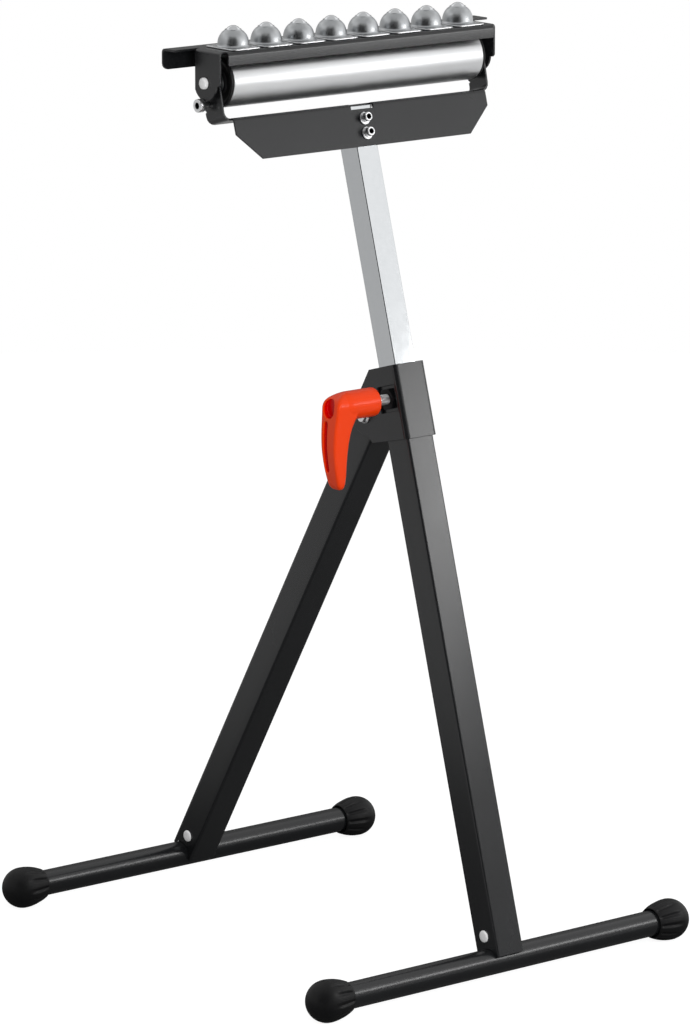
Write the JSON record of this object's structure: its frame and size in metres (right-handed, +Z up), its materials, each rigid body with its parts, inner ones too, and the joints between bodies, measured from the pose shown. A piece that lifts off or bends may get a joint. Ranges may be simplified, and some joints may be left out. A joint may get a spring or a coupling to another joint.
{
  "type": "roller stand",
  "caption": "Folding workshop support stand: hinged A-frame on two cross feet, clamped height post, and a head with a plain roller under a flip-over frame of ball transfer units.",
  "frame": {"origin": "on the floor, midway between the two cross feet and between the left and right caps", "axes": "+Z up, +X along the roller to the right, +Y back towards the hinged leg, so the column is at the front"},
  "size_m": [0.461, 0.518, 0.8886],
  "materials": {
    "black_paint": "gloss black powder coat",
    "zinc_plate": "bright zinc plate",
    "polished_steel": "polished steel",
    "black_plastic": "matte moulded",
    "orange_plastic": "satin moulded"
  },
  "bodies": {
    "column": {"column_tube": "black_paint", "column_bush": "black_plastic", "hinge_bracket": "black_paint", "leg_pivot_bolt": "zinc_plate", "leg_pivot_nut": "zinc_plate", "clamp_nut": "black_paint", "front_foot_tube": "black_paint", "front_foot_cap_left": "black_plastic", "front_foot_cap_right": "black_plastic", "front_foot_bracket": "black_paint", "front_foot_bolt": "zinc_plate", "front_foot_nut": "zinc_plate"},
    "leg": {"rear_leg": "black_paint", "rear_foot_tube": "black_paint", "rear_foot_cap_left": "black_plastic", "rear_foot_cap_right": "black_plastic", "rear_foot_bracket": "black_paint", "rear_foot_bolt": "zinc_plate", "rear_foot_nut": "zinc_plate"},
    "clamp": {"clamp_handle": "orange_plastic", "clamp_stud": "zinc_plate"},
    "post": {"post_tube": "zinc_plate", "roller_cradle": "black_paint", "cradle_bolt_upper": "zinc_plate", "cradle_washer_upper": "zinc_plate", "cradle_nut_upper": "zinc_plate", "cradle_bolt_lower": "zinc_plate", "cradle_washer_lower": "zinc_plate", "cradle_nut_lower": "zinc_plate", "roller_axle": "zinc_plate", "axle_nut": "zinc_plate", "axle_spacer_left": "zinc_plate", "axle_spacer_right": "zinc_plate", "lock_screw_left": "zinc_plate", "lock_screw_right": "zinc_plate"},
    "roller": {"roller_tube": "polished_steel", "roller_plug_left": "black_plastic", "roller_plug_right": "black_plastic", "roller_bearing_left": "zinc_plate", "roller_bearing_right": "zinc_plate"},
    "ball_frame": {"ball_frame": "black_paint", "ball_housing_1": "zinc_plate", "ball_housing_2": "zinc_plate", "ball_housing_3": "zinc_plate", "ball_housing_4": "zinc_plate", "ball_housing_5": "zinc_plate", "ball_housing_6": "zinc_plate", "ball_housing_7": "zinc_plate", "ball_housing_8": "zinc_plate"},
    "ball_1": {"ball_1": "polished_steel"},
    "ball_2": {"ball_2": "polished_steel"},
    "ball_3": {"ball_3": "polished_steel"},
    "ball_4": {"ball_4": "polished_steel"},
    "ball_5": {"ball_5": "polished_steel"},
    "ball_6": {"ball_6": "polished_steel"},
    "ball_7": {"ball_7": "polished_steel"},
    "ball_8": {"ball_8": "polished_steel"}
  },
  "joints": [
    {"name": "leg_fold", "type": "hinge", "parent": "column", "child": "leg", "pos_m": [0, -0.05786, 0.51372], "axis": [1, 0, 0], "range_deg": [-47, 0]},
    {"name": "clamp_turn", "type": "hinge", "parent": "column", "child": "clamp", "pos_m": [-0.01588, -0.09118, 0.53502], "axis": [1, 0, 0], "range_deg": [-135, 0]},
    {"name": "post_slide", "type": "slide", "parent": "column", "child": "post", "axis": [0, 0.2756, 0.9613], "range_m": [-0.205, 0.19]},
    {"name": "roller_spin", "type": "hinge", "parent": "post", "child": "roller", "pos_m": [0, -0.00465, 0.83676], "axis": [1, 0, 0], "continuous": true},
    {"name": "ball_frame_flip", "type": "hinge", "parent": "post", "child": "ball_frame", "pos_m": [0, -0.00465, 0.83676], "axis": [1, 0, 0], "range_deg": [-93, 0]},
    {"name": "ball_1_roll", "type": "hinge", "parent": "ball_frame", "child": "ball_1", "pos_m": [-0.1351, -0.00765, 0.88062], "axis": [1, 0, 0], "continuous": true},
    {"name": "ball_2_roll", "type": "hinge", "parent": "ball_frame", "child": "ball_2", "pos_m": [-0.0965, -0.00765, 0.88062], "axis": [1, 0, 0], "continuous": true},
    {"name": "ball_3_roll", "type": "hinge", "parent": "ball_frame", "child": "ball_3", "pos_m": [-0.0579, -0.00765, 0.88062], "axis": [1, 0, 0], "continuous": true},
    {"name": "ball_4_roll", "type": "hinge", "parent": "ball_frame", "child": "ball_4", "pos_m": [-0.0193, -0.00765, 0.88062], "axis": [1, 0, 0], "continuous": true},
    {"name": "ball_5_roll", "type": "hinge", "parent": "ball_frame", "child": "ball_5", "pos_m": [0.0193, -0.00765, 0.88062], "axis": [1, 0, 0], "continuous": true},
    {"name": "ball_6_roll", "type": "hinge", "parent": "ball_frame", "child": "ball_6", "pos_m": [0.0579, -0.00765, 0.88062], "axis": [1, 0, 0], "continuous": true},
    {"name": "ball_7_roll", "type": "hinge", "parent": "ball_frame", "child": "ball_7", "pos_m": [0.0965, -0.00765, 0.88062], "axis": [1, 0, 0], "continuous": true},
    {"name": "ball_8_roll", "type": "hinge", "parent": "ball_frame", "child": "ball_8", "pos_m": [0.1351, -0.00765, 0.88062], "axis": [1, 0, 0], "continuous": true}
  ]
}
